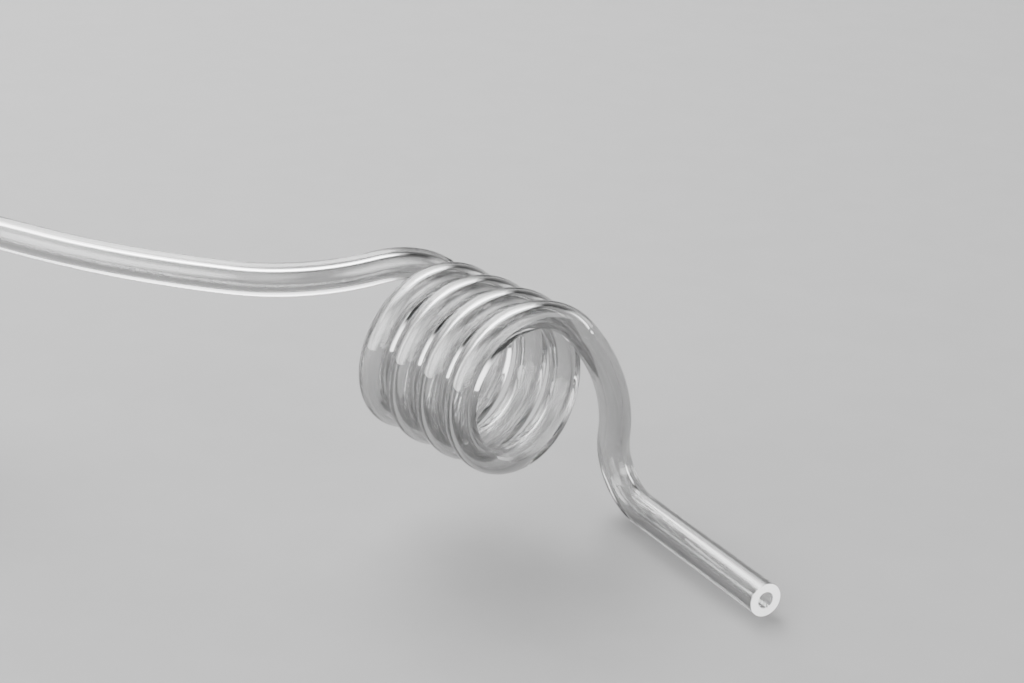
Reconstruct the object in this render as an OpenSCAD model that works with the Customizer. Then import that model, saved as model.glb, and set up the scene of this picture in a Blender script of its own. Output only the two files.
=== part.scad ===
// Immersion cooling coil: one heat-formed clear plastic tube on a push-fit garden-hose connector.
// Origin at the mouth of the hose nut, +X into the tube, +Z up, +Y to the back of the coil.

/* [Tube] */
// Outside diameter of the tube
tube_od = 9.53; // [9.4:0.01:9.6]
// Bore of the tube
tube_bore = 4.76; // [4:0.02:5.4]
// Straight run from the hose face to the first bend
inlet_run = 70; // [60:1:120]
// Radius of the long sweep on the inlet leg
sweep_radius = 260; // [200:5:350]
// Angle of the long sweep
sweep_angle = 14.7; // [10:0.1:20]
// Radius of the bend that turns back towards the coil
offset_radius = 47.6; // [42:0.1:52]
// Angle of that bend
offset_angle = 50; // [47:0.5:53]
// Radius of the lead into the first turn
lead_radius = 35; // [32:0.5:38]
// Angle of the lead
lead_angle = 38.5; // [36:0.5:41]
// Radius of the open bend that leaves the last turn
exit_radius = 68; // [64:0.5:74]
// Angle of the open bend
exit_angle = 37.5; // [34:0.5:40]
// Radius of the tight elbow
elbow_radius = 13.9; // [12.5:0.1:16]
// Angle of the tight elbow
elbow_angle = 110.3; // [100:0.1:115]
// Flatness at the middle of the tight elbow, 1 as flat as the coil
elbow_flat = 0.35; // [0:0.05:0.5]
// Straight run from the elbow to the cut end
outlet_run = 62; // [40:0.5:80]

/* [Coil] */
// Radius of the coil's centreline
coil_radius = 22.4; // [22:0.1:24]
// How much tighter the rear turn starts
rear_draw = 1.2; // [0:0.1:1.3]
// How much tighter the front turn ends
front_draw = 0.3; // [0:0.1:0.4]
// Number of turns, in thirtieths
coil_steps = 121; // [91:1:121]
// Lean of the helix for each step
coil_lean = -1.07; // [-1.4:0.01:-1.06]
// Extra lean that opens the turns on one side
coil_fan = 0.19; // [0:0.01:0.2]
// Where round the coil the turns open
coil_fan_side = 75; // [60:1:90]
// Thickness of the softened tube in the turns, as a share of its diameter
coil_squash = 0.82; // [0.8:0.01:1]
// Its width across the turns, as a share of its diameter
coil_spread = 1.07; // [1:0.01:1.07]

/* [Bend planes] */
// Turn of the tube before the long sweep
sweep_plane = -87.5; // [-90:0.5:-84]
// Turn of the tube before the offset bend
offset_plane = -87; // [-90:0.5:-84]
// Turn of the tube before the lead
lead_plane = -157; // [-160:0.5:-154]
// Turn of the tube at the start of the coil
coil_plane = 179; // [177:0.5:181]
// Turn from the coil to the open bend
exit_plane = 42.5; // [40:0.5:46]
// Turn from the coil to the tight elbow
elbow_plane = -73; // [-77:0.5:-69]

/* [Connector] */
// Bore of the nut across the thread crests, 3/4 in garden hose thread
thread_bore = 24.8; // [24.4:0.1:25]
// Length of the threaded stretch
thread_length = 8; // [7:0.5:8]
// Outside diameter of the nut
nut_od = 32; // [31:0.5:34]
// Diameter of the connector's barrel
barrel_od = 20.84; // [20.8:0.02:21]
// Waterway through the connector
waterway = 6; // [5:0.2:6.4]
// Running gap between turning or sliding faces
running_gap = 0.08; // [0.06:0.01:0.1]
// Travel of the release collar
collar_travel = 1.5; // [1:0.1:1.5]

/* [Hidden] */
$fn = 64;
tube_r = tube_od / 2;
bore_r = tube_bore / 2;
outer_sides = 16;
inner_sides = 8;
coil_step = 12;
seam = 0.01;
lap = 0.02;
skin_r = tube_r - seam;
skin_bore_r = bore_r / cos(180 / inner_sides) + 2 * seam;
eps = 0.5;

// Stations along the connector, from the nut's mouth
washer_x = thread_length + 0.2;
flange_x = 11;
shoulder_x = 13;
nut_end_x = 16.15;
groove_x = 16.25;
groove_end_x = 17.55;
tube_stop_x = 22;
seal_x = 27;
grip_x = 30.8;
barrel_end_x = 40;
cap_end_x = 41.6;
flange_r = 12.4;
relief_r = 13.1;
barrel_r = barrel_od / 2;
groove_r = 9.6;
socket_r = 4.83;
seal_r = 6.6;
cap_seat_r = 7.6;
collar_r = 5.9;
collar_bore_r = 4.88;
collar_lip_r = 6.4;
collar_flange_r = 8.4;
collar_flange_x = cap_end_x + collar_travel + 0.2;
collar_end_x = collar_flange_x + 1.6;
collar_edge = 0.4;

// Hose nut, washer and retaining ring
nut_r = nut_od / 2;
nut_edge = 0.8;
nut_taper_x = 13.5;
nut_taper = 2.5;
nut_web_x = shoulder_x + 0.15;
nut_grips = 20;
flute_r = 1.3;
flute_x = 1.6;
flute_depth = 0.8;
washer_r = relief_r - 0.3;
washer_bore_r = 8;
ring_slack = 0.05;
ring_stand = 1.2;
ring_gap = 4;

// Seal, guard ring, toothed ring, and the collar's snap lip inside the cap
o_ring_r = 0.86;
o_ring_x = seal_x + 1;
guard_x = seal_x + 2;
guard_end_x = grip_x - 0.8;
guard_bevel = 0.5;
teeth_reach = 0.6;
teeth_thick = 0.3;
teeth_gap = 0.08;
grip_teeth = 8;
tooth_slot = 0.7;
collar_tip_x = 33;
collar_swell_x = 34;
collar_lip_x = 34.4;
collar_lip_end_x = 36.3;
cap_step_x = collar_lip_end_x + 0.1;
cap_edge = 0.5;

// ---- tube route ----

function turn_z(a) =
    [[cos(a), -sin(a), 0, 0], [sin(a), cos(a), 0, 0], [0, 0, 1, 0], [0, 0, 0, 1]];

function turn_y(a) =
    [[cos(a), 0, sin(a), 0], [0, 1, 0, 0], [-sin(a), 0, cos(a), 0], [0, 0, 0, 1]];

function move_xz(x, z) =
    [[1, 0, 0, x], [0, 1, 0, 0], [0, 0, 1, z], [0, 0, 0, 1]];

function bend(radius, angle, plane) =
    turn_z(plane) * move_xz(radius, 0) * turn_y(angle) * move_xz(-radius, 0) * turn_z(-plane);

// One row for each short arc: radius, angle, plane, flatness at its end
function arcs(radius, angle, plane, count, flat_from, flat_to) =
    [for (i = [1:count])
        [radius, angle / count, plane, flat_from + (flat_to - flat_from) * i / count]];

function coil_flat(j) = min(1, 0.5 + j / 6, 0.5 + (coil_steps - 1 - j) / 6);

function coil_radius_at(j) =
    coil_radius - rear_draw * max(0, 1 - j / 30) - front_draw * max(0, 1 - (coil_steps - 1 - j) / 30);

function coil_lean_at(j) = coil_lean + coil_fan * cos(coil_step * j - coil_fan_side);

coil_planes = [for (j = 0, p = coil_plane; j <= coil_steps; p = p + coil_lean_at(j), j = j + 1) p];
last_plane = coil_planes[coil_steps];

route = concat(
    arcs(sweep_radius, sweep_angle, sweep_plane, 4, 0, 0),
    arcs(offset_radius, offset_angle, offset_plane, 5, 0, 0),
    arcs(lead_radius, lead_angle, lead_plane, 4, 0, 0.5),
    [for (j = [0:coil_steps - 1]) [coil_radius_at(j), coil_step, coil_planes[j], coil_flat(j)]],
    arcs(exit_radius, exit_angle, last_plane + exit_plane, 4, 0.5, 0),
    arcs(elbow_radius, elbow_angle / 2, last_plane + elbow_plane, 5, 0, elbow_flat),
    arcs(elbow_radius, elbow_angle / 2, last_plane + elbow_plane, 5, elbow_flat, 0)
);

function next_frame(m, i) =
    i < len(route) ? m * bend(route[i][0], route[i][1], route[i][2]) : m;

along_x = [[0, 0, 1, 0], [0, -1, 0, 0], [1, 0, 0, 0], [0, 0, 0, 1]];
bend_start = along_x * move_xz(0, inlet_run);
frames = [for (i = 0, m = bend_start; i <= len(route); m = next_frame(m, i), i = i + 1) m];

function place(m, p) = [for (row = [0:2]) m[row] * [p[0], p[1], 0, 1]];

// Oval section: thinner towards the bend's centre, wider across it
function oval_point(radius, angle, plane, flat) =
    let (
        u = radius * (1 + (coil_squash - 1) * flat) * cos(angle - plane),
        v = radius * (1 + (coil_spread - 1) * flat) * sin(angle - plane)
    )
    [u * cos(plane) - v * sin(plane), u * sin(plane) + v * cos(plane)];

function ring(i, radius, sides) =
    let (row = route[max(i - 1, 0)], flat = i == 0 ? 0 : row[3])
    [for (k = [0:sides - 1]) place(frames[i], oval_point(radius, 360 * k / sides, row[2], flat))];

rings = len(frames);
outer_count = rings * outer_sides;

skin_points = concat(
    [for (i = [0:rings - 1]) for (p = ring(i, skin_r, outer_sides)) p],
    [for (i = [0:rings - 1]) for (p = ring(i, skin_bore_r, inner_sides)) p]
);

function outer_at(i, k) = i * outer_sides + k % outer_sides;
function inner_at(i, k) = outer_count + i * inner_sides + k % inner_sides;
function flip(face) = [face[2], face[1], face[0]];

// Ring-shaped end face, two outer edges to each inner edge
function end_faces(i) =
    [for (k = [0:inner_sides - 1]) for (face = [
        [inner_at(i, k), outer_at(i, 2 * k), outer_at(i, 2 * k + 1)],
        [inner_at(i, k), outer_at(i, 2 * k + 1), inner_at(i, k + 1)],
        [inner_at(i, k + 1), outer_at(i, 2 * k + 1), outer_at(i, 2 * k + 2)]
    ]) face];

skin_faces = concat(
    [for (i = [0:rings - 2]) for (k = [0:outer_sides - 1]) for (face = [
        [outer_at(i, k), outer_at(i + 1, k), outer_at(i + 1, k + 1)],
        [outer_at(i, k), outer_at(i + 1, k + 1), outer_at(i, k + 1)]
    ]) face],
    [for (i = [0:rings - 2]) for (k = [0:inner_sides - 1]) for (face = [
        [inner_at(i, k), inner_at(i + 1, k + 1), inner_at(i + 1, k)],
        [inner_at(i, k), inner_at(i, k + 1), inner_at(i + 1, k + 1)]
    ]) face],
    end_faces(0),
    [for (face = end_faces(rings - 1)) flip(face)]
);

// Straight tube that starts a hair inside the bent skin, so the two join as one body
module straight_tube(from, to) {
    translate([0, 0, from])
        difference() {
            cylinder(r = tube_r, h = to - from);
            translate([0, 0, -eps])
                cylinder(r = bore_r, h = to - from + 2 * eps);
        }
}

module formed_tube() {
    color([0.86, 0.89, 0.9, 0.5])
    union() {
        multmatrix(along_x)
            straight_tube(tube_stop_x, inlet_run + lap);
        polyhedron(points = skin_points, faces = skin_faces, convexity = 10);
        multmatrix(frames[rings - 1])
            straight_tube(-lap, outlet_run);
    }
}

// ---- connector ----

// Turned piece on the X axis from a list of [station, radius] corners
module turned(profile) {
    rotate([0, 90, 0])
        rotate_extrude()
            polygon([for (p = profile) [p[1], p[0]]]);
}

module connector_body() {
    color([0.12, 0.13, 0.14])
    turned([
        [flange_x, waterway / 2 + 1],
        [flange_x, flange_r],
        [shoulder_x, flange_r],
        [shoulder_x, barrel_r],
        [groove_x, barrel_r],
        [groove_x, groove_r],
        [groove_end_x, groove_r],
        [groove_end_x, barrel_r],
        [barrel_end_x, barrel_r],
        [barrel_end_x, cap_seat_r],
        [grip_x, cap_seat_r],
        [grip_x, seal_r],
        [seal_x, seal_r],
        [seal_x, socket_r],
        [tube_stop_x, socket_r],
        [tube_stop_x, waterway / 2],
        [flange_x + 1, waterway / 2]
    ]);
}

module swivel_nut() {
    color([0.15, 0.16, 0.17])
    difference() {
        turned([
            [0, thread_bore / 2],
            [0, nut_r - nut_edge],
            [nut_edge, nut_r],
            [nut_taper_x, nut_r],
            [nut_end_x, nut_r - nut_taper],
            [nut_end_x, barrel_r + running_gap],
            [nut_web_x, barrel_r + running_gap],
            [nut_web_x, relief_r],
            [thread_length, relief_r],
            [thread_length, thread_bore / 2]
        ]);
        for (i = [0:nut_grips - 1])
            rotate([360 * i / nut_grips, 0, 0])
                translate([flute_x, 0, nut_r + flute_r - flute_depth])
                    rotate([0, 90, 0])
                        cylinder(r = flute_r, h = nut_end_x);
    }
}

module hose_washer() {
    color([0.08, 0.08, 0.08])
    turned([
        [washer_x, washer_bore_r],
        [washer_x, washer_r],
        [flange_x, washer_r],
        [flange_x, washer_bore_r]
    ]);
}

module retaining_ring() {
    color([0.75, 0.76, 0.78])
    difference() {
        turned([
            [groove_x + ring_slack, groove_r + ring_slack],
            [groove_x + ring_slack, barrel_r + ring_stand],
            [groove_end_x - ring_slack, barrel_r + ring_stand],
            [groove_end_x - ring_slack, groove_r + ring_slack]
        ]);
        translate([groove_x - eps, -ring_gap / 2, 0])
            cube([groove_end_x - groove_x + 2 * eps, ring_gap, nut_od]);
    }
}

module tube_o_ring() {
    color([0.06, 0.06, 0.06])
    translate([o_ring_x, 0, 0])
        rotate([0, 90, 0])
            rotate_extrude()
                translate([(socket_r + seal_r) / 2 - 0.02, 0])
                    circle(r = o_ring_r);
}

module o_ring_guard() {
    color([0.85, 0.85, 0.82])
    turned([
        [guard_x, collar_bore_r],
        [guard_x, seal_r - 0.1],
        [guard_end_x, seal_r - 0.1],
        [guard_end_x, collar_bore_r + guard_bevel],
        [guard_end_x - guard_bevel, collar_bore_r]
    ]);
}

module grab_ring() {
    color([0.8, 0.81, 0.83])
    difference() {
        turned([
            [grip_x - teeth_reach, tube_r + teeth_gap],
            [grip_x, collar_r],
            [grip_x, cap_seat_r - 0.2],
            [grip_x + teeth_thick, cap_seat_r - 0.2],
            [grip_x + teeth_thick, collar_r],
            [grip_x + teeth_thick - teeth_reach, tube_r + teeth_gap]
        ]);
        for (i = [0:grip_teeth - 1])
            rotate([360 * i / grip_teeth, 0, 0])
                translate([grip_x - 1, -tooth_slot / 2, 0])
                    cube([2, tooth_slot, collar_r + 0.2]);
    }
}

module end_cap() {
    color([0.2, 0.21, 0.22])
    turned([
        [grip_x + teeth_thick + 0.05, collar_lip_r + 0.1],
        [grip_x + teeth_thick + 0.05, cap_seat_r - 0.05],
        [barrel_end_x + 0.05, cap_seat_r - 0.05],
        [barrel_end_x + 0.05, barrel_r],
        [cap_end_x - cap_edge, barrel_r],
        [cap_end_x, barrel_r - cap_edge],
        [cap_end_x, collar_r + running_gap],
        [cap_step_x, collar_r + running_gap],
        [cap_step_x, collar_lip_r + 0.1]
    ]);
}

module release_collar() {
    color([0.55, 0.56, 0.58])
    turned([
        [collar_tip_x, collar_bore_r],
        [collar_tip_x, collar_bore_r + collar_edge],
        [collar_swell_x, collar_r],
        [collar_lip_x, collar_lip_r],
        [collar_lip_end_x, collar_lip_r],
        [collar_lip_end_x, collar_r],
        [collar_flange_x, collar_r],
        [collar_flange_x, collar_flange_r],
        [collar_end_x - collar_edge, collar_flange_r],
        [collar_end_x, collar_flange_r - collar_edge],
        [collar_end_x, collar_bore_r]
    ]);
}

formed_tube();
connector_body();
swivel_nut();
hose_washer();
retaining_ring();
tube_o_ring();
o_ring_guard();
grab_ring();
end_cap();
release_collar();
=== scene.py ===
"""Looks of an immersion cooling coil: a clear formed tube on a push-fit garden-hose connector."""
import math

import bmesh
import bpy
from mathutils import Matrix, Vector


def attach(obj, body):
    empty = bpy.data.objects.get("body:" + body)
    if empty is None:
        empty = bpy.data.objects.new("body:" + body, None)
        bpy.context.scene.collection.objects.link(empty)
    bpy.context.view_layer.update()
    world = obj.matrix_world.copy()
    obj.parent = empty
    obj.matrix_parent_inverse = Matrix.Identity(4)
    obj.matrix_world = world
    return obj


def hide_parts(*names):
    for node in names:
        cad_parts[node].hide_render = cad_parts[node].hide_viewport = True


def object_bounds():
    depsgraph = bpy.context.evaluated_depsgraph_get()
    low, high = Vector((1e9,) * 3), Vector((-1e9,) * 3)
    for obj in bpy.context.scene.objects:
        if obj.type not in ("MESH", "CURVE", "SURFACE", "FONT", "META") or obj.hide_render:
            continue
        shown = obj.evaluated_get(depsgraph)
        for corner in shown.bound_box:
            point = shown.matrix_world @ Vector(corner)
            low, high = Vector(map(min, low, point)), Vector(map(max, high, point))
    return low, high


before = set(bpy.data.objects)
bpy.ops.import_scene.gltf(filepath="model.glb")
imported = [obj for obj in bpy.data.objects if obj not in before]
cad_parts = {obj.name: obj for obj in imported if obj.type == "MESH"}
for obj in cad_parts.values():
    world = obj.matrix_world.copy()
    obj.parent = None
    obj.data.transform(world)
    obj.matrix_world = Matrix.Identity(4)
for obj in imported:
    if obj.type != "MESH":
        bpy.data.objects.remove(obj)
cad_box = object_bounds()

# ---- tube route: the same bends as the CAD model, in metres and degrees ----

TUBE_R = 0.004765
BORE_R = 0.00238
TUBE_STOP = 0.022
INLET_RUN = 0.070
OUTLET_RUN = 0.062
# Each bend: radius, angle, and the plane that it turns in
SWEEP = (0.260, 14.7, -87.5)
OFFSET = (0.0476, 50.0, -87.0)
LEAD = (0.035, 38.5, -157.0)
EXIT = (0.068, 37.5, 42.5)
ELBOW = (0.0139, 110.3, -73.0)
COIL_RADIUS = 0.0224
REAR_DRAW = 0.0012
FRONT_DRAW = 0.0003
COIL_STEP = 12
COIL_STEPS = 121
COIL_PLANE = 179.0
COIL_LEAN = -1.07
COIL_FAN = 0.19
COIL_FAN_SIDE = 75
DRAW_STEPS = 30
# The flattened section: how much thinner and wider, and how it comes and goes
SQUASH = 0.82
SPREAD = 1.07
END_FLAT = 0.5
FLAT_STEPS = 6
ELBOW_FLAT = 0.35
# The dent inside the elbow
PINCH_DEPTH = 0.10
PINCH_REACH = 0.0035
PINCH_FOCUS = 6

# How finely the mesh is cut, and the skin's width unrolled
OUTER_SIDES = 64
INNER_SIDES = 32
INLET_CUTS = 10
BEND_CUTS = 20
EASY_CUTS = 14
COIL_CUTS = 4
OUTLET_CUTS = 12
SKIN_WIDTH = 0.03


def turn(angle, axis):
    return Matrix.Rotation(math.radians(angle), 4, axis)


def bend(radius, angle, plane):
    out = Matrix.Translation((radius, 0, 0))
    back = Matrix.Translation((-radius, 0, 0))
    return turn(plane, "Z") @ out @ turn(angle, "Y") @ back @ turn(-plane, "Z")


class Route:
    """Walks along the tube and keeps a frame, a bend plane, a flatness and a length at each ring."""

    def __init__(self, start):
        self.frame = start
        self.length = 0.0
        self.pinch = 0.0
        self.rings = [(start.copy(), 0.0, 0.0, 0.0)]

    def add(self, plane, flat):
        self.rings.append((self.frame.copy(), plane, flat, self.length))

    def straight(self, run, count):
        for _ in range(count):
            self.frame = self.frame @ Matrix.Translation((0, 0, run / count))
            self.length += run / count
            self.add(0.0, 0.0)

    def arc(self, radius, angle, plane, count, flat_from=0.0, flat_to=0.0):
        for i in range(count):
            self.frame = self.frame @ bend(radius, angle / count, plane)
            self.length += radius * math.radians(angle) / count
            self.add(plane, flat_from + (flat_to - flat_from) * (i + 1) / count)


def coil_flat(j):
    return min(1.0, END_FLAT + j / FLAT_STEPS, END_FLAT + (COIL_STEPS - 1 - j) / FLAT_STEPS)


def coil_radius(j):
    rear = max(0.0, 1 - j / DRAW_STEPS)
    front = max(0.0, 1 - (COIL_STEPS - 1 - j) / DRAW_STEPS)
    return COIL_RADIUS - REAR_DRAW * rear - FRONT_DRAW * front


def tube_route():
    along_x = Matrix(((0, 0, 1, TUBE_STOP), (0, -1, 0, 0), (1, 0, 0, 0), (0, 0, 0, 1)))
    route = Route(along_x)
    route.straight(INLET_RUN - TUBE_STOP, INLET_CUTS)
    route.arc(*SWEEP, BEND_CUTS)
    route.arc(*OFFSET, BEND_CUTS)
    route.arc(*LEAD, EASY_CUTS, 0.0, END_FLAT)
    plane = COIL_PLANE
    for j in range(COIL_STEPS):
        route.arc(coil_radius(j), COIL_STEP, plane, COIL_CUTS, coil_flat(j - 1), coil_flat(j))
        plane += COIL_LEAN + COIL_FAN * math.cos(math.radians(j * COIL_STEP - COIL_FAN_SIDE))
    radius, angle, offset = EXIT
    route.arc(radius, angle, plane + offset, EASY_CUTS, END_FLAT, 0.0)
    radius, angle, offset = ELBOW
    route.arc(radius, angle / 2, plane + offset, BEND_CUTS, 0.0, ELBOW_FLAT)
    route.pinch = route.length
    route.arc(radius, angle / 2, plane + offset, BEND_CUTS, ELBOW_FLAT, 0.0)
    route.straight(OUTLET_RUN, OUTLET_CUTS)
    return route


def pinched(radius, angle, plane, distance):
    """The heat-formed elbow's inner wall draws in at the middle of the bend."""
    towards = max(0.0, math.cos(angle - plane)) ** PINCH_FOCUS
    return radius * (1 - PINCH_DEPTH * towards * math.exp(-((distance / PINCH_REACH) ** 2)))


def section(radius, angle, plane, flat):
    u = radius * (1 + (SQUASH - 1) * flat) * math.cos(angle - plane)
    v = radius * (1 + (SPREAD - 1) * flat) * math.sin(angle - plane)
    x = u * math.cos(plane) - v * math.sin(plane)
    y = u * math.sin(plane) + v * math.cos(plane)
    return Vector((x, y, 0.0))


def crisp_cut_ends(mesh):
    """Keeps the saw cut's edges from tilting the skin's shading."""
    shell = bmesh.new()
    shell.from_mesh(mesh)
    for edge in shell.edges:
        edge.smooth = len({face.material_index for face in edge.link_faces}) == 1
    shell.to_mesh(mesh)
    shell.free()


def build_tube(route):
    """One closed mesh: outer skin, bore skin and the two ring-shaped cut ends."""
    verts = []
    where = []
    rings = route.rings
    for radius, sides in ((TUBE_R, OUTER_SIDES), (BORE_R, INNER_SIDES)):
        for m, plane, flat, length in rings:
            for k in range(sides):
                angle = 2 * math.pi * k / sides
                bent = math.radians(plane)
                near = pinched(radius, angle, bent, length - route.pinch)
                verts.append(m @ section(near, angle, bent, flat))
                where.append((k / sides, length))
    first_inner = len(rings) * OUTER_SIDES

    def outer(i, k):
        return i * OUTER_SIDES + k % OUTER_SIDES

    def inner(i, k):
        return first_inner + i * INNER_SIDES + k % INNER_SIDES

    faces = []
    ends = 0
    for i in range(len(rings) - 1):
        for k in range(OUTER_SIDES):
            faces.append((outer(i, k), outer(i, k + 1), outer(i + 1, k + 1), outer(i + 1, k)))
        for k in range(INNER_SIDES):
            faces.append((inner(i, k), inner(i + 1, k), inner(i + 1, k + 1), inner(i, k + 1)))
    skin_faces = len(faces)
    for i in (0, len(rings) - 1):
        for k in range(INNER_SIDES):
            tris = (
                (inner(i, k), outer(i, 2 * k), outer(i, 2 * k + 1)),
                (inner(i, k), outer(i, 2 * k + 1), inner(i, k + 1)),
                (inner(i, k + 1), outer(i, 2 * k + 1), outer(i, 2 * k + 2)),
            )
            for tri in tris:
                faces.append(tri if i else tri[::-1])
    mesh = bpy.data.meshes.new("clear_tube")
    mesh.from_pydata(verts, [], faces)
    uv = mesh.uv_layers.new(name="along")
    for face in mesh.polygons:
        around = [where[v][0] for v in face.vertices]
        wraps = max(around) - min(around) > 0.5
        for loop, vert in zip(face.loop_indices, face.vertices):
            a, length = where[vert]
            if wraps and a < 0.5:
                a += 1.0
            uv.data[loop].uv = (a * SKIN_WIDTH, length)
        face.use_smooth = face.index < skin_faces
        face.material_index = 0 if face.index < skin_faces else 1
    mesh.validate()
    crisp_cut_ends(mesh)
    obj = bpy.data.objects.new("clear_tube", mesh)
    bpy.context.scene.collection.objects.link(obj)
    return obj


# ---- connector shapes: the CAD outlines with moulded radii ----

LATHE_SIDES = 96
CORNER_STEPS = (0.0, 0.25, 0.5, 0.75, 1.0)
CORNER_SHARE = 0.4

# Stations along the connector from the nut's mouth, in millimetres
WASHER_X = 8.2
FLANGE_X = 11
SHOULDER_X = 13
NUT_WEB_X = 13.15
NUT_END_X = 16.15
GROOVE_X = 16.25
GROOVE_END_X = 17.55
TUBE_STOP_X = 22
SEAL_X = 27
GRIP_X = 30.8
CAP_START_X = 31.15
COLLAR_TIP_X = 33
COLLAR_SWELL_X = 34
COLLAR_LIP_X = 34.4
COLLAR_LIP_END_X = 36.3
CAP_STEP_X = 36.4
BARREL_END_X = 40
CAP_RIM_X = 40.05
CAP_END_X = 41.6
COLLAR_FLANGE_X = 43.3
COLLAR_END_X = COLLAR_FLANGE_X + 1.6

# Radii of the connector, in millimetres
WATERWAY_R = 3
MOUTH_R = 4
SOCKET_R = 4.83
SEAL_R = 6.6
CAP_SEAT_R = 7.6
GROOVE_R = 9.6
BARREL_R = 10.42
FLANGE_R = 12.4
WASHER_BORE_R = 8
WASHER_R = 12.8
CAP_BORE_R = 5.98
CAP_STEP_R = 6.5
CAP_SLEEVE_R = 7.55
COLLAR_BORE_R = 4.88
COLLAR_TIP_R = 5.28
COLLAR_R = 5.9
COLLAR_LIP_R = 6.4
COLLAR_FLANGE_R = 8.4

# The moulded edges' radii, in millimetres
BODY_FILLET = 0.3
CAP_FILLET = 0.45
COLLAR_FILLET = 0.4
WASHER_FILLET = 0.4

# The barrel's three finger grooves, in millimetres
FINGER_GROOVES = (21, 26, 31)
FINGER_WIDTH = 3
FINGER_SLOPE = 0.5
FINGER_R = 10.1

# The hose nut, in millimetres
NUT_SIDES = 480
NUT_R = 16.0
NUT_EDGE = 0.8
NUT_MOUTH_R = 12.6
NUT_SKIRT_X = 1.7
NUT_TAPER_X = 13.5
NUT_TAPER_R = 13.5
NUT_WEB_R = 10.5
NUT_FILLET = 0.35
FLUTES = 20
FLUTE_R = 1.3
FLUTE_AT = 16.5
FLUTE_FROM = 1.6
FLUTED_ABOVE = 13.4
THREAD_PITCH = 2.21
THREAD_LENGTH = 8.0
THREAD_CREST = 12.4
THREAD_ROOT = 13.0
THREAD_RELIEF = 13.1
THREAD_START = 0.4
THREAD_FADE_IN = 1.0
THREAD_FADE_OUT = 0.6
THREAD_STEP = 0.13
THREAD_LOOPS = 57


def rounded(corners, fillet):
    """The outline with a small arc at each corner."""
    points = []
    count = len(corners)
    for i, corner in enumerate(corners):
        here = Vector(corner)
        before = Vector(corners[i - 1]) - here
        after = Vector(corners[(i + 1) % count]) - here
        cut = min(fillet, CORNER_SHARE * before.length, CORNER_SHARE * after.length)
        start = here + before.normalized() * cut
        end = here + after.normalized() * cut
        for step in CORNER_STEPS:
            low = start.lerp(here, step)
            points.append(low.lerp(here.lerp(end, step), step))
    return points


def turned(name, corners_mm, fillet_mm):
    """A closed turned piece on the X axis from (station, radius) corners in millimetres."""
    outline = rounded([(x / 1000, r / 1000) for x, r in corners_mm], fillet_mm / 1000)
    return wrap(name, [[(x, r)] * LATHE_SIDES for x, r in outline])


def wrap(name, loops):
    """Joins closed loops of (station, radius) round the X axis into a closed shell."""
    verts = []
    sides = len(loops[0])
    for loop in loops:
        for k, (x, r) in enumerate(loop):
            angle = 2 * math.pi * k / sides
            verts.append((x, r * math.sin(angle), r * math.cos(angle)))
    faces = []
    for i in range(len(loops)):
        j = (i + 1) % len(loops)
        for k in range(sides):
            m = (k + 1) % sides
            faces.append((i * sides + k, j * sides + k, j * sides + m, i * sides + m))
    mesh = bpy.data.meshes.new(name)
    mesh.from_pydata(verts, [], faces)
    solid = bmesh.new()
    solid.from_mesh(mesh)
    bmesh.ops.recalc_face_normals(solid, faces=solid.faces)
    solid.to_mesh(mesh)
    solid.free()
    mesh.shade_smooth()
    obj = bpy.data.objects.new(name, mesh)
    bpy.context.scene.collection.objects.link(obj)
    obj.modifiers.new("even_shading", "WEIGHTED_NORMAL")
    return obj


def fluted(radius, turn_deg):
    """The radius with round-bottomed grip flutes cut along it."""
    pitch = 360.0 / FLUTES
    across = math.radians((turn_deg + pitch / 2) % pitch - pitch / 2)
    side = FLUTE_AT * math.sin(across)
    if abs(side) >= FLUTE_R:
        return radius
    return min(radius, FLUTE_AT * math.cos(across) - math.sqrt(FLUTE_R**2 - side**2))


def threaded(x, turn_deg):
    """The radius inside the nut, with a helical valley that fades out at both ends.

    The valley's floor, the crest and each flank take a quarter of the pitch.
    """
    phase = (x / THREAD_PITCH + turn_deg / 360.0) % 1.0
    valley = min(1.0, max(0.0, 1.5 - 4.0 * abs(phase - 0.5)))
    fade = min(1.0, (x - THREAD_START) / THREAD_FADE_IN, (THREAD_LENGTH - x) / THREAD_FADE_OUT)
    return THREAD_CREST + (THREAD_ROOT - THREAD_CREST) * valley * max(0.0, fade)


def nut_loops():
    """Outside with grip flutes, inside with a real helical thread."""
    outside = rounded([
        (0.0, NUT_MOUTH_R),
        (0.0, NUT_R - NUT_EDGE),
        (NUT_EDGE, NUT_R),
        (NUT_SKIRT_X, NUT_R),
        (NUT_TAPER_X, NUT_R),
        (NUT_END_X, NUT_TAPER_R),
        (NUT_END_X, NUT_WEB_R),
        (NUT_WEB_X, NUT_WEB_R),
        (NUT_WEB_X, THREAD_RELIEF),
        (THREAD_LENGTH, THREAD_RELIEF),
    ], NUT_FILLET)
    inside = [(THREAD_LENGTH - THREAD_STEP * (i + 1), THREAD_CREST) for i in range(THREAD_LOOPS)]
    loops = []
    for x, r in [tuple(point) for point in outside] + inside:
        loop = []
        for k in range(NUT_SIDES):
            turn_deg = 360.0 * k / NUT_SIDES
            here = r
            if r > FLUTED_ABOVE and x > FLUTE_FROM:
                here = fluted(r, turn_deg)
            elif r == THREAD_CREST:
                here = threaded(x, turn_deg)
            loop.append((x / 1000, here / 1000))
        loops.append(loop)
    return loops


# ---- materials ----

EVEN = (1.0, 1.0, 1.0)
PLASTIC_IOR = 1.49
# How far a moulding's colour and roughness vary
DARKER = 0.82
LIGHTER = 1.2
DUST = 0.004
SCUFF_DOWN = 0.1
SCUFF_UP = 0.12


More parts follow.
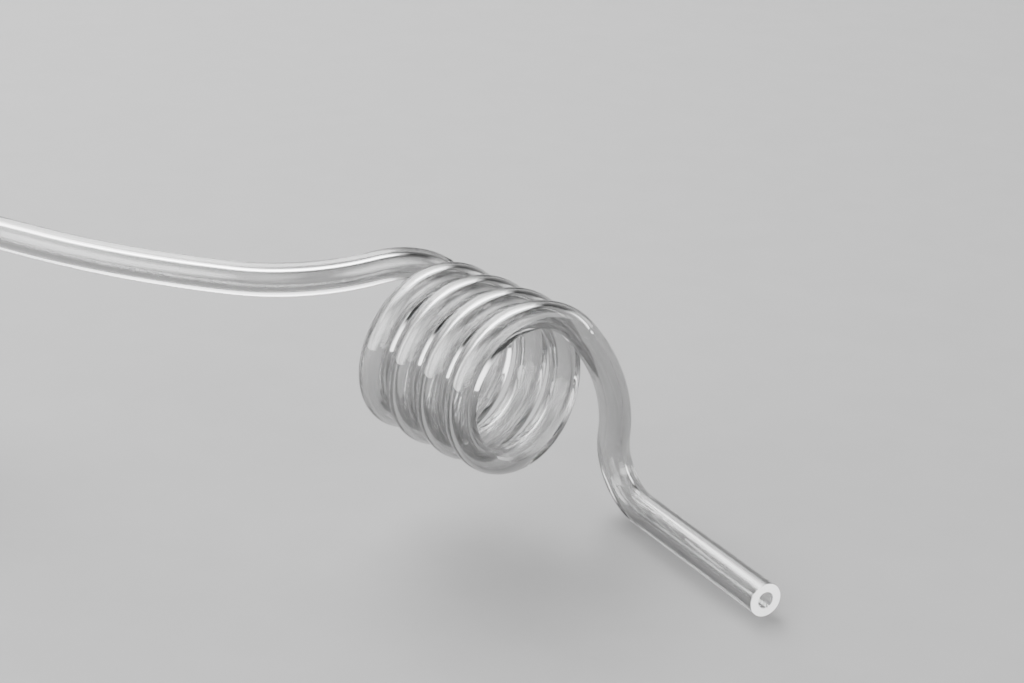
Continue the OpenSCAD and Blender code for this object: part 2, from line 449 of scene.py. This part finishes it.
class Nodes:
    """Shorthand for building a node material."""

    def __init__(self, name):
        self.material = bpy.data.materials.new(name)
        self.material.use_nodes = True
        self.tree = self.material.node_tree
        self.shader = self.tree.nodes["Principled BSDF"]

    def add(self, kind):
        return self.tree.nodes.new(kind)

    def link(self, source, target):
        self.tree.links.new(source, target)

    def stretched(self, coordinate, scale):
        place = self.add("ShaderNodeTexCoord")
        mapping = self.add("ShaderNodeMapping")
        mapping.inputs["Scale"].default_value = scale
        self.link(place.outputs[coordinate], mapping.inputs["Vector"])
        return mapping.outputs["Vector"]

    def noise(self, vector, scale, detail=3.0, rough=0.5):
        node = self.add("ShaderNodeTexNoise")
        node.inputs["Scale"].default_value = scale
        node.inputs["Detail"].default_value = detail
        node.inputs["Roughness"].default_value = rough
        self.link(vector, node.inputs["Vector"])
        return node.outputs[0]

    def ramp(self, factor, stops):
        node = self.add("ShaderNodeValToRGB")
        elements = node.color_ramp.elements
        while len(elements) < len(stops):
            elements.new(0.5)
        for element, (position, colour) in zip(elements, stops):
            element.position = position
            element.color = colour
        self.link(factor, node.inputs["Fac"])
        return node.outputs["Color"]

    def span(self, factor, low, high):
        node = self.add("ShaderNodeMapRange")
        node.inputs["To Min"].default_value = low
        node.inputs["To Max"].default_value = high
        self.link(factor, node.inputs["Value"])
        return node.outputs["Result"]

    def bump(self, height, strength, distance, before=None):
        node = self.add("ShaderNodeBump")
        node.inputs["Strength"].default_value = strength
        node.inputs["Distance"].default_value = distance
        self.link(height, node.inputs["Height"])
        if before is not None:
            self.link(before, node.inputs["Normal"])
        return node.outputs["Normal"]

    def put(self, output, socket):
        self.link(output, self.shader.inputs[socket])


def grey(value, tint=0.0):
    return (value, value * (1 + tint * 0.5), value * (1 + tint), 1.0)


def clear_plastic():
    """Clear tube with fine extrusion lines, a slow wave in the wall, and lamps shining through it."""
    n = Nodes("clear_plastic")
    n.shader.inputs["Transmission Weight"].default_value = 1.0
    n.shader.inputs["IOR"].default_value = PLASTIC_IOR
    lines = n.noise(n.stretched("UV", (1.0, 0.015, 1.0)), scale=1100.0, rough=0.6)
    waves = n.noise(n.stretched("UV", (1.0, 0.35, 1.0)), scale=110.0, detail=1.0)
    haze = n.noise(n.stretched("UV", (1.0, 0.2, 1.0)), scale=260.0)
    n.put(n.ramp(lines, ((0.3, grey(0.78)), (0.65, grey(0.92)))), "Base Color")
    n.put(n.span(haze, 0.0, 0.05), "Roughness")
    fine = n.bump(lines, strength=0.1, distance=0.00003)
    n.put(n.bump(waves, strength=0.1, distance=0.00015, before=fine), "Normal")
    path = n.add("ShaderNodeLightPath")
    facing = n.add("ShaderNodeLayerWeight")
    facing.inputs["Blend"].default_value = 0.35
    through = n.add("ShaderNodeBsdfTransparent")
    edge = n.ramp(facing.outputs["Facing"], ((0.3, grey(0.88)), (0.9, grey(0.2))))
    n.link(edge, through.inputs["Color"])
    mix = n.add("ShaderNodeMixShader")
    n.link(path.outputs["Is Shadow Ray"], mix.inputs["Fac"])
    n.link(n.shader.outputs["BSDF"], mix.inputs[1])
    n.link(through.outputs["BSDF"], mix.inputs[2])
    n.link(mix.outputs["Shader"], n.tree.nodes["Material Output"].inputs["Surface"])
    depth = n.add("ShaderNodeVolumeAbsorption")
    depth.inputs["Color"].default_value = grey(0.5)
    depth.inputs["Density"].default_value = 170.0
    n.link(depth.outputs["Volume"], n.tree.nodes["Material Output"].inputs["Volume"])
    return n.material


def cut_face():
    """Sawn plastic: matt and nearly white, with saw marks, and some light passing through."""
    n = Nodes("sawn_end")
    n.shader.inputs["IOR"].default_value = PLASTIC_IOR
    marks = n.noise(n.stretched("Object", (1.0, 1.0, 6.0)), scale=1800.0, detail=4.0, rough=0.6)
    n.put(n.ramp(marks, ((0.3, grey(0.86)), (0.7, grey(0.96)))), "Base Color")
    n.put(n.span(marks, 0.5, 0.8), "Roughness")
    n.put(n.bump(marks, strength=0.5, distance=0.00006), "Normal")
    glow = n.add("ShaderNodeBsdfTranslucent")
    glow.inputs["Color"].default_value = grey(0.85)
    mix = n.add("ShaderNodeMixShader")
    mix.inputs["Fac"].default_value = 0.25
    n.link(n.shader.outputs["BSDF"], mix.inputs[1])
    n.link(glow.outputs["BSDF"], mix.inputs[2])
    n.link(mix.outputs["Shader"], n.tree.nodes["Material Output"].inputs["Surface"])
    return n.material


def moulded(name, colour, rough, grain=2200.0):
    """Moulded plastic: a fine grain, slow changes of colour, and scuffs that run along the part."""
    n = Nodes(name)
    n.shader.inputs["IOR"].default_value = 1.48
    n.shader.inputs["Specular IOR Level"].default_value = 0.3
    fine = n.noise(n.stretched("Object", EVEN), scale=grain, rough=0.6)
    broad = n.noise(n.stretched("Object", EVEN), scale=90.0)
    scuff = n.noise(n.stretched("Object", (0.15, 1.0, 1.0)), scale=1400.0, detail=2.0)
    low = tuple(c * DARKER for c in colour) + (1.0,)
    high = tuple(min(1.0, c * LIGHTER + DUST) for c in colour) + (1.0,)
    n.put(n.ramp(broad, ((0.3, low), (0.7, high))), "Base Color")
    n.put(n.span(scuff, rough - SCUFF_DOWN, rough + SCUFF_UP), "Roughness")
    n.put(n.bump(fine, strength=0.35, distance=0.00005), "Normal")
    return n.material


def spring_steel():
    """Stainless strip, brushed round the axis."""
    n = Nodes("spring_steel")
    n.shader.inputs["Metallic"].default_value = 1.0
    brush = n.noise(n.stretched("Object", (8.0, 1.0, 1.0)), scale=700.0, detail=4.0, rough=0.6)
    n.put(n.ramp(brush, ((0.3, grey(0.52, 0.03)), (0.7, grey(0.7, 0.02)))), "Base Color")
    n.put(n.span(brush, 0.22, 0.42), "Roughness")
    n.put(n.bump(brush, strength=0.3, distance=0.00003), "Normal")
    return n.material


def rubber():
    """Black rubber with a faint bloom."""
    n = Nodes("rubber")
    bloom = n.noise(n.stretched("Object", EVEN), scale=300.0, detail=4.0, rough=0.6)
    n.put(n.ramp(bloom, ((0.3, grey(0.01)), (0.75, grey(0.026)))), "Base Color")
    n.put(n.span(bloom, 0.55, 0.8), "Roughness")
    n.put(n.bump(bloom, strength=0.3, distance=0.00005), "Normal")
    return n.material


def floor_finish():
    n = Nodes("pale_floor")
    grain = n.noise(n.stretched("Object", EVEN), scale=60.0, detail=4.0)
    n.put(n.ramp(grain, ((0.3, grey(0.135)), (0.7, grey(0.142)))), "Base Color")
    n.shader.inputs["Roughness"].default_value = 0.7
    return n.material


# ---- object ----

tube = build_tube(tube_route())
tube.data.materials.append(clear_plastic())
tube.data.materials.append(cut_face())
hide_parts("formed_tube")
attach(tube, "coil")

finger_grooves = []
for start in FINGER_GROOVES:
    finger_grooves += [
        (start, BARREL_R),
        (start + FINGER_SLOPE, FINGER_R),
        (start + FINGER_WIDTH - FINGER_SLOPE, FINGER_R),
        (start + FINGER_WIDTH, BARREL_R),
    ]
shapes = {
    "connector_body": turned("body_moulding", [
        (FLANGE_X, MOUTH_R),
        (FLANGE_X, FLANGE_R),
        (SHOULDER_X, FLANGE_R),
        (SHOULDER_X, BARREL_R),
        (GROOVE_X, BARREL_R),
        (GROOVE_X, GROOVE_R),
        (GROOVE_END_X, GROOVE_R),
        (GROOVE_END_X, BARREL_R),
        *finger_grooves,
        (BARREL_END_X, BARREL_R),
        (BARREL_END_X, CAP_SEAT_R),
        (GRIP_X, CAP_SEAT_R),
        (GRIP_X, SEAL_R),
        (SEAL_X, SEAL_R),
        (SEAL_X, SOCKET_R),
        (TUBE_STOP_X, SOCKET_R),
        (TUBE_STOP_X, WATERWAY_R),
        (FLANGE_X + 1, WATERWAY_R),
    ], BODY_FILLET),
    "end_cap": turned("cap_moulding", [
        (CAP_START_X, CAP_STEP_R),
        (CAP_START_X, CAP_SLEEVE_R),
        (CAP_RIM_X, CAP_SLEEVE_R),
        (CAP_RIM_X, BARREL_R),
        (CAP_END_X, BARREL_R),
        (CAP_END_X, CAP_BORE_R),
        (CAP_STEP_X, CAP_BORE_R),
        (CAP_STEP_X, CAP_STEP_R),
    ], CAP_FILLET),
    "release_collar": turned("collar_moulding", [
        (COLLAR_TIP_X, COLLAR_BORE_R),
        (COLLAR_TIP_X, COLLAR_TIP_R),
        (COLLAR_SWELL_X, COLLAR_R),
        (COLLAR_LIP_X, COLLAR_LIP_R),
        (COLLAR_LIP_END_X, COLLAR_LIP_R),
        (COLLAR_LIP_END_X, COLLAR_R),
        (COLLAR_FLANGE_X, COLLAR_R),
        (COLLAR_FLANGE_X, COLLAR_FLANGE_R),
        (COLLAR_END_X, COLLAR_FLANGE_R),
        (COLLAR_END_X, COLLAR_BORE_R),
    ], COLLAR_FILLET),
    "hose_washer": turned("washer_ring", [
        (WASHER_X, WASHER_BORE_R),
        (WASHER_X, WASHER_R),
        (FLANGE_X, WASHER_R),
        (FLANGE_X, WASHER_BORE_R),
    ], WASHER_FILLET),
    "swivel_nut": wrap("nut_moulding", nut_loops()),
}
riders = {"release_collar": "collar", "swivel_nut": "nut"}

steel = spring_steel()
seal = rubber()
finishes = {
    "connector_body": moulded("black_acetal", (0.016, 0.0165, 0.018), 0.42),
    "end_cap": moulded("black_cap", (0.02, 0.0205, 0.0225), 0.38),
    "swivel_nut": moulded("dark_acetal", (0.026, 0.028, 0.031), 0.45, 1600.0),
    "o_ring_guard": moulded("white_acetal", (0.6, 0.6, 0.57), 0.45),
    "release_collar": moulded("grey_acetal", (0.22, 0.23, 0.25), 0.4),
    "hose_washer": seal,
    "tube_o_ring": seal,
    "retaining_ring": steel,
    "grab_ring": steel,
}
for name, piece in shapes.items():
    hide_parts(name)
    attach(piece, riders.get(name, "coil"))
for name, material in finishes.items():
    part = shapes.get(name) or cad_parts[name]
    part.data.materials.clear()
    part.data.materials.append(material)

# ---- floor, light and camera ----

FLOOR_GAP = 0.0004
FLOOR_Z = cad_box[0][2] - FLOOR_GAP
FLOOR_SIZE = 12.0


def plane(name, size, z):
    half = size / 2
    corners = [(-half, -half, z), (half, -half, z), (half, half, z), (-half, half, z)]
    mesh = bpy.data.meshes.new(name)
    mesh.from_pydata(corners, [], [(0, 1, 2, 3)])
    obj = bpy.data.objects.new(name, mesh)
    bpy.context.scene.collection.objects.link(obj)
    return obj


floor = plane("floor", FLOOR_SIZE, FLOOR_Z)
floor.data.materials.append(floor_finish())


def soft_light(name, place, target, size, power):
    data = bpy.data.lights.new(name, "AREA")
    data.shape = "RECTANGLE"
    data.size = size[0]
    data.size_y = size[1]
    data.energy = power
    obj = bpy.data.objects.new(name, data)
    aim = Vector(target) - Vector(place)
    obj.location = place
    obj.rotation_euler = aim.to_track_quat("-Z", "Y").to_euler()
    bpy.context.scene.collection.objects.link(obj)


CENTRE = (0.19, 0.03, -0.03)
KEY_PLACE = (-0.35, 0.55, 0.85)
KEY_SIZE = (0.9, 0.5)
KEY_POWER = 14.0
soft_light("key", KEY_PLACE, CENTRE, KEY_SIZE, KEY_POWER)


def studio_world():
    """Soft boxes with blurred edges in a dim room: direction, how narrow, how bright."""
    boxes = (
        ((-0.66, 0.30, 0.69), 0.72, 12.0),
        ((0.92, 0.03, 0.32), 0.80, 9.0),
        ((0.05, -0.80, 0.60), 0.84, 5.0),
        ((-0.62, -0.74, 0.26), 0.78, 14.0),
        ((0.42, 0.88, 0.16), 0.94, 5.0),
    )
    made = bpy.data.worlds.new("studio")
    made.use_nodes = True
    nodes = made.node_tree.nodes
    links = made.node_tree.links
    place = nodes.new("ShaderNodeTexCoord")
    split = nodes.new("ShaderNodeSeparateXYZ")
    links.new(place.outputs["Generated"], split.inputs[0])
    room = nodes.new("ShaderNodeMapRange")
    room.interpolation_type = "SMOOTHSTEP"
    room.inputs["From Max"].default_value = 0.5
    room.inputs["To Min"].default_value = 0.45
    room.inputs["To Max"].default_value = 0.08
    links.new(split.outputs["Z"], room.inputs["Value"])
    total = room.outputs["Result"]
    for direction, narrow, bright in boxes:
        dot = nodes.new("ShaderNodeVectorMath")
        dot.operation = "DOT_PRODUCT"
        dot.inputs[1].default_value = Vector(direction).normalized()
        links.new(place.outputs["Generated"], dot.inputs[0])
        box = nodes.new("ShaderNodeMapRange")
        box.interpolation_type = "SMOOTHSTEP"
        box.inputs["From Min"].default_value = narrow
        box.inputs["From Max"].default_value = 0.99
        box.inputs["To Max"].default_value = bright
        links.new(dot.outputs["Value"], box.inputs["Value"])
        add = nodes.new("ShaderNodeMath")
        links.new(total, add.inputs[0])
        links.new(box.outputs["Result"], add.inputs[1])
        total = add.outputs[0]
    links.new(total, nodes["Background"].inputs["Strength"])
    nodes["Background"].inputs["Color"].default_value = (1.0, 1.0, 1.0, 1.0)
    return made


bpy.context.scene.world = studio_world()

LENS = 80.3
EYE = Vector((0.5271, -0.4496, 0.2303))
YAW = math.radians(-33.02)
PITCH = math.radians(-22.65)
ROLL = math.radians(0.12)

look = Vector((math.cos(PITCH) * math.sin(YAW), math.cos(PITCH) * math.cos(YAW), math.sin(PITCH)))
level = look.cross(Vector((0, 0, 1))).normalized()
upright = level.cross(look)
right = level * math.cos(ROLL) + upright * math.sin(ROLL)
up = right.cross(look)
camera_data = bpy.data.cameras.new("camera")
camera_data.lens = LENS
camera_data.sensor_width = 36.0
camera_data.clip_start = 0.01
camera = bpy.data.objects.new("camera", camera_data)
camera.matrix_world = Matrix((
    (right.x, up.x, -look.x, EYE.x),
    (right.y, up.y, -look.y, EYE.y),
    (right.z, up.z, -look.z, EYE.z),
    (0, 0, 0, 1),
))
bpy.context.scene.collection.objects.link(camera)
bpy.context.scene.camera = camera
